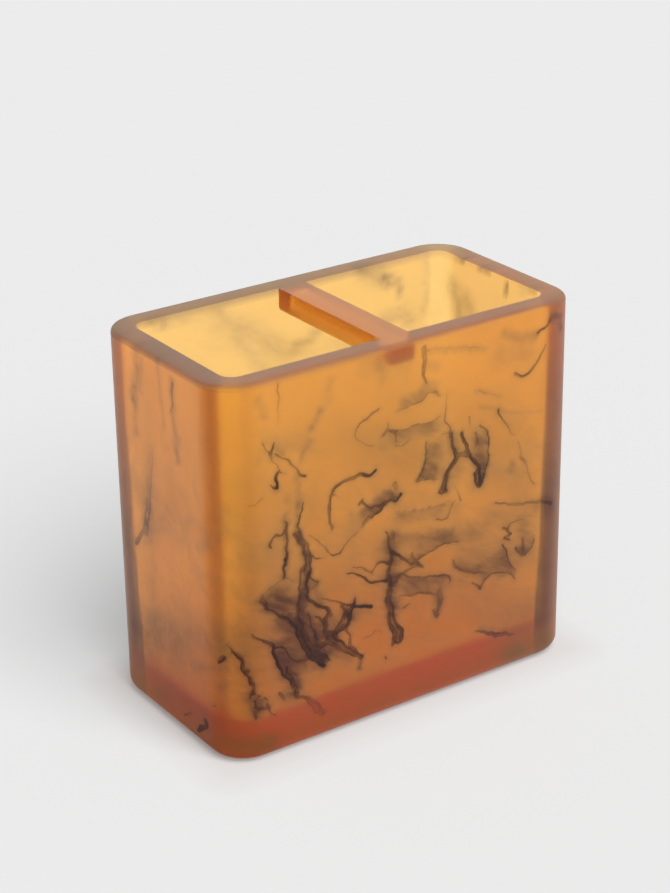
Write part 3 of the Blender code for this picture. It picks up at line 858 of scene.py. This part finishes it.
def marble(casting, cup):
    """Lay the marbling and the painted shade, and mark the satin surfaces, as values on the casting's points.
    """
    mesh = casting.data
    points = np.empty(len(mesh.vertices) * 3)
    mesh.vertices.foreach_get("co", points)
    points = points.reshape(-1, 3)
    length, depth, _ = BODY_HIGH - BODY_LOW
    inside = depth_inside(points, length, depth, cup.outer_corner)
    way, height = way_round(points, cup), points[:, 2] / MM
    outer = inside < cup.wall / 2
    pocket = (inside < cup.wall * 1.2) & ~outer
    quarter_way = ((length + depth) / 2 - 2 * cup.outer_corner + cup.outer_corner * math.pi / 2) / MM

    def wall(chosen, turns, sense, wandering=True):
        """The chosen points as places on the wall that lies so many quarters of the way round."""
        index = np.flatnonzero(chosen)
        round_way = way[index] - turns * quarter_way
        round_way -= 4 * quarter_way * np.round(round_way / (4 * quarter_way))
        places = np.column_stack((sense * round_way, height[index]))
        return index, places + wander(places, WANDER_SEED, WANDER_REACH) if wandering else places

    marbling = Marbling(len(points))
    front, left = wall(outer, 0, 1), wall(outer, -1, -1)
    # The back and the right side have plumes of the front's, turned over
    for plumes, face in ((FRONT_PLUMES, front), (LEFT_PLUMES, left),
                         (turned_over(FRONT_PLUMES, *BACK_BAND), wall(outer, 2, 1)),
                         (turned_over(FRONT_PLUMES, *RIGHT_BAND), wall(outer, 1, -1))):
        for plume in plumes:
            marbling.plume(face, *plume)
    for puffs, face in ((FRONT_SMOKE, front), (LEFT_SMOKE, left),
                        (POCKET_BACK_SMOKE, wall(pocket, 2, -1)), (POCKET_RIGHT_SMOKE, wall(pocket, 1, 1))):
        for puff in puffs:
            marbling.smoke(face, *puff)
    # Painted shade on the outside, where the right and back walls are seen from end to end
    marbling.shade(wall(outer, 0, 1, False), FRONT_END, RIGHT_WALL_SHADE)
    marbling.shade(wall(outer, -1, -1, False), LEFT_END, BACK_WALL_SHADE)
    # Painted shade on the rim, darker at the back and the sides than at the front
    rim = (points[:, 2] > BODY_HIGH.z - RIM_DEPTH) & (inside < cup.wall + cup.mouth_round)
    marbling.lit[rim] *= 1 - np.interp(way[rim], *np.array(RIM_SHADE).T)
    on_top, underneath = points[:, 2] > BODY_HIGH.z - 0.05 * MM, points[:, 2] < BODY_LOW.z + cup.base / 2
    in_bar = (inside > cup.wall + cup.mouth_round) & (points[:, 2] > BAR_LOW.z - 0.1 * MM)
    under_bar = in_bar & (points[:, 2] < BAR_LOW.z + cup.bar_lower_round)
    satin = outer | on_top | underneath | under_bar
    offset = mesh.attributes.new("ink_offset", "FLOAT_VECTOR", "POINT")
    offset.data.foreach_set("vector", marbling.offset.astype(np.float32).ravel())
    for name, values in (("ink_depth", marbling.depth), ("ink_across", SILK_STRETCH * MM * marbling.across),
                         ("ink_veil", 1 - marbling.clear), ("painted_wall_shade", 1 - marbling.lit),
                         ("satin", satin), ("bar_side", in_bar & ~satin)):
        mesh.attributes.new(name, "FLOAT", "POINT").data.foreach_set("value", values.astype(np.float32))


def ink_openness(tree, place):
    """How much of the light gets past the ink: all of it where there is none."""
    offset = node(tree, "ShaderNodeAttribute", attribute_name="ink_offset").outputs["Vector"]
    depth = node(tree, "ShaderNodeAttribute", attribute_name="ink_depth").outputs["Fac"]
    across = node(tree, "ShaderNodeAttribute", attribute_name="ink_across").outputs["Fac"]
    off = node(tree, "ShaderNodeVectorMath", links={0: offset}, operation="LENGTH").outputs["Value"]
    # Silky lines run along each plume: those 0.3 mm broad fray its edge, those 0.6 mm broad streak its inside
    fray_length, streak_length = SILK_STRETCH * 0.3 * MM, SILK_STRETCH * 0.6 * MM
    fray = node(tree, "ShaderNodeTexNoise", {"Scale": 1 / fray_length, "Detail": 2.0},
                {"Vector": place, "W": across}, noise_dimensions="4D")
    frayed = node(tree, "ShaderNodeMath", {1: 0.9}, {0: fray.outputs["Fac"], 2: off},
                  operation="MULTIPLY_ADD")
    line = node(tree, "ShaderNodeMapRange", {"From Min": 1.95, "From Max": 0.95},
                {"Value": frayed.outputs["Value"]}, interpolation_type="SMOOTHSTEP")
    streaks = node(tree, "ShaderNodeTexNoise", {"Scale": 1 / streak_length, "Detail": 3.0},
                   {"Vector": place, "W": across}, noise_dimensions="4D")
    streaked = node(tree, "ShaderNodeMapRange",
                    {"From Min": 0.38, "From Max": 0.6, "To Min": 0.5, "To Max": 1.2},
                    {"Value": streaks.outputs["Fac"]})
    dense = node(tree, "ShaderNodeMath", links={0: line.outputs["Result"], 1: depth}, operation="MULTIPLY")
    dense = node(tree, "ShaderNodeMath", links={0: dense.outputs["Value"], 1: streaked.outputs["Result"]},
                 operation="MULTIPLY")
    return node(tree, "ShaderNodeMath", {0: 1.0}, {1: dense.outputs["Value"]}, operation="SUBTRACT",
                use_clamp=True).outputs["Value"]


def smoke_and_shade_openness(tree, place, height, clouds):
    """How much of the light gets past the smoke, the clouds and the painted shade of walls seen from end to
    end.
    """
    veil = node(tree, "ShaderNodeAttribute", attribute_name="ink_veil").outputs["Fac"]
    shade = node(tree, "ShaderNodeAttribute", attribute_name="painted_wall_shade").outputs["Fac"]
    # Smoke lies in wisps about 3 mm broad, which slant as the clouds do
    slant = node(tree, "ShaderNodeMapping", {"Rotation": (0, math.radians(-60), 0), "Scale": (1, 1, 2.5)},
                 {"Vector": place}, vector_type="TEXTURE").outputs["Vector"]
    puffs = node(tree, "ShaderNodeTexNoise", {"Scale": 1 / (3 * MM), "Detail": 4.0, "Distortion": 0.8},
                 {"Vector": slant})
    uneven = node(tree, "ShaderNodeMapRange",
                  {"From Min": 0.3, "From Max": 0.7, "To Min": 0.65, "To Max": 1.25},
                  {"Value": puffs.outputs["Fac"]})
    smoke = node(tree, "ShaderNodeMath", links={0: veil, 1: uneven.outputs["Result"]}, operation="MULTIPLY")
    past_smoke = node(tree, "ShaderNodeMath", {0: 1.0}, {1: smoke.outputs["Value"]}, operation="SUBTRACT",
                      use_clamp=True)
    # Thin clouds about 8 mm broad drift through the casting, and thin out towards the rim and the foot
    drift = node(tree, "ShaderNodeTexNoise", {"Scale": 1 / (8 * MM), "Detail": 4.0, "Distortion": 0.8},
                 {"Vector": slant})
    below = node(tree, "ShaderNodeMapRange", {"From Min": 100 * MM, "From Max": 60 * MM, "To Max": clouds},
                 {"Value": height})
    above = node(tree, "ShaderNodeMapRange", {"From Min": 8 * MM, "From Max": 22 * MM, "To Min": 0.2},
                 {"Value": height})
    lower = node(tree, "ShaderNodeMath", links={0: below.outputs["Result"], 1: above.outputs["Result"]},
                 operation="MULTIPLY")
    cloud = node(tree, "ShaderNodeMapRange", {"From Min": 0.42, "From Max": 0.7},
                 {"Value": drift.outputs["Fac"], "To Max": lower.outputs["Value"]})
    # The painted shade darkens the wall as the smoke does
    past_shade = node(tree, "ShaderNodeMapRange", {"To Max": 0.0},
                      {"Value": shade, "To Min": past_smoke.outputs["Value"]})
    return node(tree, "ShaderNodeMapRange", {"To Max": 0.0},
                {"Value": cloud.outputs["Result"], "To Min": past_shade.outputs["Result"]}).outputs["Result"]


def tint_with_painted_shade(tree, resin, place, satin, bar):
    """The resin's tint at its surface, of which light takes the root on the way in and on the way out, with
    painted shade along the foot, round the front left corner, low down and on the bar's sides.
    """
    amber, foot_painted_shade, corner_painted_shade, low_painted_shade, bar_painted_shade = (
        (*linear(colour), 1) for colour in
        (resin.amber, resin.foot_painted_shade, resin.corner_painted_shade, resin.low_painted_shade, resin.bar_painted_shade))
    parts = node(tree, "ShaderNodeSeparateXYZ", links={"Vector": place}).outputs
    # Painted shade along the foot: the outside is tinted deeper from 14 mm down to 5 mm
    foot = node(tree, "ShaderNodeMapRange", {"From Min": 14 * MM, "From Max": 5 * MM}, {"Value": parts["Z"]})
    tint = node(tree, "ShaderNodeMix", {MIX_A: amber, MIX_B: foot_painted_shade}, {"Factor": foot.outputs["Result"]},
                data_type="RGBA")
    # Painted shade round the front left corner: where the front turns into the left side, the sum of x and y
    # falls from -70 mm to -78 mm, and the outside is tinted deeper
    diagonal = node(tree, "ShaderNodeVectorMath", {1: (1, 1, 0)}, {0: place},
                    operation="DOT_PRODUCT").outputs["Value"]
    corner = node(tree, "ShaderNodeMapRange", {"From Min": -70 * MM, "From Max": -78 * MM},
                  {"Value": diagonal})
    tint = node(tree, "ShaderNodeMix", {MIX_B: corner_painted_shade},
                {"Factor": corner.outputs["Result"], MIX_A: tint.outputs[MIX_RESULT]}, data_type="RGBA")
    # Painted shade low down: the left side keeps its tint, and the rest is tinted more from 60 mm down to 20
    # mm
    off_left = node(tree, "ShaderNodeMapRange", {"From Min": -53 * MM, "From Max": -49 * MM},
                    {"Value": parts["X"]})
    low = node(tree, "ShaderNodeMapRange", {"From Min": 60 * MM, "From Max": 20 * MM},
               {"Value": parts["Z"], "To Max": off_left.outputs["Result"]})
    tint = node(tree, "ShaderNodeMix", {MIX_B: low_painted_shade},
                {"Factor": low.outputs["Result"], MIX_A: tint.outputs[MIX_RESULT]}, data_type="RGBA",
                blend_type="MULTIPLY")
    # Only the satin outside has that tint, and the bar's sides have a painted shade of their own, a deeper
    # tint
    tint = node(tree, "ShaderNodeMix", {MIX_A: (1, 1, 1, 1)},
                {"Factor": satin, MIX_B: tint.outputs[MIX_RESULT]}, data_type="RGBA")
    tint = node(tree, "ShaderNodeMix", {MIX_B: bar_painted_shade},
                {"Factor": bar, MIX_A: tint.outputs[MIX_RESULT]}, data_type="RGBA")
    return tint.outputs[MIX_RESULT]


def resin_material():
    """Polyester casting resin with swirled-in ink: satin where it was sanded, clear in the pockets."""
    resin = settings("cup_resin")
    material, tree, output = new_material("amber_casting_resin")
    place = node(tree, "ShaderNodeTexCoord").outputs["Object"]
    height = node(tree, "ShaderNodeSeparateXYZ", links={"Vector": place}).outputs["Z"]
    satin = node(tree, "ShaderNodeAttribute", attribute_name="satin").outputs["Fac"]
    bar = node(tree, "ShaderNodeAttribute", attribute_name="bar_side").outputs["Fac"]
    open_ink = ink_openness(tree, place)
    open_smoke_and_shade = smoke_and_shade_openness(tree, place, height, resin.clouds)
    # Light is tinted by the root of the colour at each surface, so these shares are squared
    past_ink = node(tree, "ShaderNodeMath", {1: 2.0}, {0: open_ink}, operation="POWER")
    past_smoke = node(tree, "ShaderNodeMath", {1: 2.0}, {0: open_smoke_and_shade}, operation="POWER")
    # The smoke's colour also gives the clouds and the painted shade their colour
    tone = node(tree, "ShaderNodeMix", {MIX_A: (*linear(resin.smoke), 1)},
                {"Factor": past_smoke.outputs["Value"], MIX_B: tint_with_painted_shade(tree, resin, place, satin, bar)},
                data_type="RGBA")
    tone = node(tree, "ShaderNodeMix", {MIX_A: (*linear(resin.ink), 1)},
                {"Factor": past_ink.outputs["Value"], MIX_B: tone.outputs[MIX_RESULT]}, data_type="RGBA")
    # Smoke and the painted shade scatter some light back, and the sanded outside a little
    sanded = node(tree, "ShaderNodeMapRange", {"To Min": 1.0, "To Max": 0.95}, {"Value": satin})
    through = node(tree, "ShaderNodeMapRange", {"To Min": 0.65},
                   {"Value": open_smoke_and_shade, "To Max": sanded.outputs["Result"]})
    rough = node(tree, "ShaderNodeMapRange", {"To Min": resin.polish, "To Max": resin.satin},
                 {"Value": satin})
    shader = node(tree, "ShaderNodeBsdfPrincipled", {"IOR": 1.5},
                  {"Base Color": tone.outputs[MIX_RESULT], "Roughness": rough.outputs["Result"],
                   "Transmission Weight": through.outputs["Result"]})
    # The strongest loss gives the density, and the colour lets the others through
    density = 1.02 * max(resin.absorption) / MM
    colour = [1 - loss / MM / density for loss in resin.absorption]
    absorbed = node(tree, "ShaderNodeVolumeAbsorption", {"Color": (*colour, 1), "Density": density})
    tree.links.new(shader.outputs["BSDF"], output.inputs["Surface"])
    tree.links.new(absorbed.outputs["Volume"], output.inputs["Volume"])
    return material


def pad_material():
    """Clear soft polyurethane, moulded with a smooth skin, hardly seen through the resin."""
    pads = settings("cup_pads")
    material, tree, output = new_material("clear_moulded_polyurethane")
    place = node(tree, "ShaderNodeTexCoord").outputs["Object"]
    # The mould's own grain, about 1.2 mm coarse, makes the skin's gloss a little uneven
    grain = node(tree, "ShaderNodeTexNoise", {"Scale": 1 / (1.2 * MM), "Detail": 3.0}, {"Vector": place})
    rough = node(tree, "ShaderNodeMapRange", {"To Min": pads.smoothest, "To Max": pads.roughest},
                 {"Value": grain.outputs["Fac"]})
    shader = node(tree, "ShaderNodeBsdfPrincipled",
                  {"Base Color": (*linear(pads.colour), 1), "IOR": 1.5, "Transmission Weight": 0.96},
                  {"Roughness": rough.outputs["Result"]})
    tree.links.new(shader.outputs["BSDF"], output.inputs["Surface"])
    return material


def worktop_material(stage):
    """Matt emulsion, rolled on: an even pale grey without gloss, with a painted shadow close to the cup in
    the cup's warm shade and amber light.
    """
    material, tree, output = new_material("rolled_matt_emulsion")
    camera, through, mirrored, _ = light_paths(tree)
    place = node(tree, "ShaderNodeNewGeometry").outputs["Position"]
    paint = node(tree, "ShaderNodeBsdfDiffuse", {"Color": (*linear(stage.floor), 1)})
    # Painted shadow: close to the cup the worktop is painted in the colour of the shade and amber light that
    # the cup lets onto it
    spot = node(tree, "ShaderNodeVectorMath", links={0: place}, operation="ABSOLUTE")
    beyond = node(tree, "ShaderNodeVectorMath", {1: CAD_BOX[1]}, {0: spot.outputs["Vector"]},
                  operation="SUBTRACT")
    beyond = node(tree, "ShaderNodeVectorMath", {1: (0, 0, 0)}, {0: beyond.outputs["Vector"]},
                  operation="MAXIMUM")
    gap = node(tree, "ShaderNodeVectorMath", links={0: beyond.outputs["Vector"]},
               operation="LENGTH").outputs["Value"]
    close = node(tree, "ShaderNodeMapRange", {"To Max": 0.0},
                 {"Value": gap,
                  "To Min": level_by_ray(tree, 0.0, (camera, stage.under_seen), (through, 1.0)),
                  "From Max": level_by_ray(tree, stage.foot_reach, (through, stage.under_reach))})
    tinted = node(tree, "ShaderNodeMix",
                  {MIX_A: (*linear(stage.floor), 1), MIX_B: (*linear(stage.painted_cup_shadow), 1)},
                  {"Factor": close.outputs["Result"]}, data_type="RGBA")
    # The camera's side of the worktop is the darker one in the cup's gloss
    toward_back = node(tree, "ShaderNodeVectorMath", {1: (0.6, 1, 0)}, {0: place},
                       operation="DOT_PRODUCT").outputs["Value"]
    seen = node(tree, "ShaderNodeMapRange",
                {"From Min": -60 * MM, "From Max": 20 * MM, "To Min": stage.floor_mirrored,
                 "To Max": stage.back_mirrored}, {"Value": toward_back})
    # The cup's own shadow darkens the worktop close to its left side
    leftward = node(tree, "ShaderNodeSeparateXYZ", links={"Vector": place}).outputs["X"]
    darkest = node(tree, "ShaderNodeMapRange",
                   {"From Min": -54 * MM, "From Max": -30 * MM, "To Min": stage.own_shadow},
                   {"Value": leftward})
    shadowed = node(tree, "ShaderNodeMapRange", {"From Max": stage.shadow_reach},
                    {"Value": gap, "To Min": darkest.outputs["Result"]})
    seen = node(tree, "ShaderNodeMath", links={0: seen.outputs["Result"], 1: shadowed.outputs["Result"]},
                operation="MULTIPLY")
    strength = level_by_ray(tree, 1.0, (through, stage.floor_through), (mirrored, seen.outputs["Value"]))
    glow = node(tree, "ShaderNodeEmission",
                links={"Color": tinted.outputs[MIX_RESULT], "Strength": strength})
    share = level_by_ray(tree, 0.0, (camera, stage.even_floor), (through, stage.even_seen), (mirrored, 1.0))
    mixed = node(tree, "ShaderNodeMixShader",
                 links={0: share, 1: paint.outputs["BSDF"], 2: glow.outputs["Emission"]})
    tree.links.new(mixed.outputs["Shader"], output.inputs["Surface"])
    return material


def light_room(stage):
    """Give the scene an even white room, as strong as each sort of ray needs."""
    world = bpy.data.worlds.new("room")
    bpy.context.scene.world = world
    world.use_nodes = True
    tree = world.node_tree
    tree.nodes.clear()
    _, through, mirrored, spilt = light_paths(tree)
    level = level_by_ray(tree, stage.sky, (through, stage.sky_through), (mirrored, stage.sky_mirrored),
                         (spilt, stage.spill))
    back = node(tree, "ShaderNodeBackground", {"Color": (1, 1, 1, 1)}, {"Strength": level})
    node(tree, "ShaderNodeOutputWorld", links={"Surface": back.outputs["Background"]})


def hang_window(stage):
    """Light the worktop from a soft window, which neither shows in the resin nor in its gloss."""
    lamp = bpy.data.lights.new("window", "SUN")
    lamp.energy = stage.window
    lamp.angle = stage.window_spread
    window = bpy.data.objects.new("window", lamp)
    window.visible_transmission = False
    window.visible_glossy = False
    bpy.context.collection.objects.link(window)
    turn = settings("cup_camera").azimuth + stage.window_turn
    toward = Vector((math.cos(turn) * math.cos(stage.window_height),
                     math.sin(turn) * math.cos(stage.window_height),
                     math.sin(stage.window_height)))
    window.rotation_euler = toward.to_track_quat("Z", "Y").to_euler()


class CUP_OT_casting(bpy.types.Operator):
    """Make the casting with its bar and give it the marbled resin"""
    bl_idname = "cup.casting"
    bl_label = "Casting"

    def execute(self, context):
        cup = settings("cup_casting")
        casting = casting_shell(cup)
        join_bar(casting, bar_tool(cup))
        marble(casting, cup)
        casting.data.shade_smooth()
        casting.data.set_sharp_from_angle(angle=math.radians(35))
        casting.data.materials.clear()
        casting.data.materials.append(resin_material())
        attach(casting, "root")
        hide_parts("cup_body", "divider_bar")
        return {"FINISHED"}


class CUP_OT_pads(bpy.types.Operator):
    """Give the four base pads their clear rubber"""
    bl_idname = "cup.pads"
    bl_label = "Base pads"

    def execute(self, context):
        material = pad_material()
        for name in PAD_NODES:
            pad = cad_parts[name]
            for slot in pad.material_slots:
                slot.material = material
        return {"FINISHED"}


class CUP_OT_stage(bpy.types.Operator):
    """Lay the worktop and light it"""
    bl_idname = "cup.stage"
    bl_label = "Stage"

    def execute(self, context):
        stage = settings("cup_stage")
        bm = bmesh.new()
        bmesh.ops.create_circle(bm, cap_ends=True, segments=96, radius=WORKTOP_RADIUS)
        mesh = bpy.data.meshes.new("worktop")
        bm.to_mesh(mesh)
        bm.free()
        floor = bpy.data.objects.new("worktop", mesh)
        # A hair below the pads, so that a ray that leaves a pad still meets the worktop
        floor.location.z = -0.05 * MM
        bpy.context.collection.objects.link(floor)
        floor.data.materials.append(worktop_material(stage))
        light_room(stage)
        hang_window(stage)
        bpy.context.scene.view_settings.view_transform = "Standard"
        return {"FINISHED"}


class CUP_OT_camera(bpy.types.Operator):
    """Set the camera at the photograph's angle"""
    bl_idname = "cup.camera"
    bl_label = "Camera"

    def execute(self, context):
        shot = settings("cup_camera")
        middle = Vector((0, 0, CAD_BOX[1][2] / 2))
        outward = Vector((math.cos(shot.elevation) * math.cos(shot.azimuth),
                          math.cos(shot.elevation) * math.sin(shot.azimuth),
                          math.sin(shot.elevation)))
        place = middle + outward * shot.distance
        aimed = (place - Vector(shot.aim)).to_track_quat("Z", "Y").to_matrix()
        turn = aimed @ Matrix.Rotation(shot.tilt, 3, "Z")
        data = bpy.data.cameras.new("camera")
        data.sensor_fit = "VERTICAL"
        data.sensor_height = 24
        data.lens = shot.lens
        data.clip_start = 0.01
        camera = bpy.data.objects.new("camera", data)
        camera.matrix_world = Matrix.Translation(place) @ turn.to_4x4()
        bpy.context.collection.objects.link(camera)
        bpy.context.scene.camera = camera
        return {"FINISHED"}


class CUP_PT_panel(bpy.types.Panel):
    """A button for each group of pieces, the stage and the camera"""
    bl_idname = "CUP_PT_panel"
    bl_label = "Toothbrush Cup"
    bl_space_type = "VIEW_3D"
    bl_region_type = "UI"
    bl_category = "Toothbrush Cup"

    def draw(self, context):
        for name in OPERATORS:
            self.layout.operator(name)


GROUPS = {
    "cup_casting": CastingSettings,
    "cup_resin": ResinSettings,
    "cup_pads": PadSettings,
    "cup_stage": StageSettings,
    "cup_camera": CameraSettings,
}
OPERATORS = ("cup.camera", "cup.stage", "cup.casting", "cup.pads")
CLASSES = (*GROUPS.values(), CUP_OT_casting, CUP_OT_pads, CUP_OT_stage, CUP_OT_camera, CUP_PT_panel)


def register():
    for each in CLASSES:
        bpy.utils.register_class(each)
    for name, group in GROUPS.items():
        setattr(bpy.types.Scene, name, PointerProperty(type=group))


def unregister():
    for name in GROUPS:
        delattr(bpy.types.Scene, name)
    for each in reversed(CLASSES):
        bpy.utils.unregister_class(each)


def main():
    register()
    bpy.ops.cup.camera()
    bpy.ops.cup.stage()
    bpy.ops.cup.casting()
    bpy.ops.cup.pads()


if __name__ == "__main__":
    main()
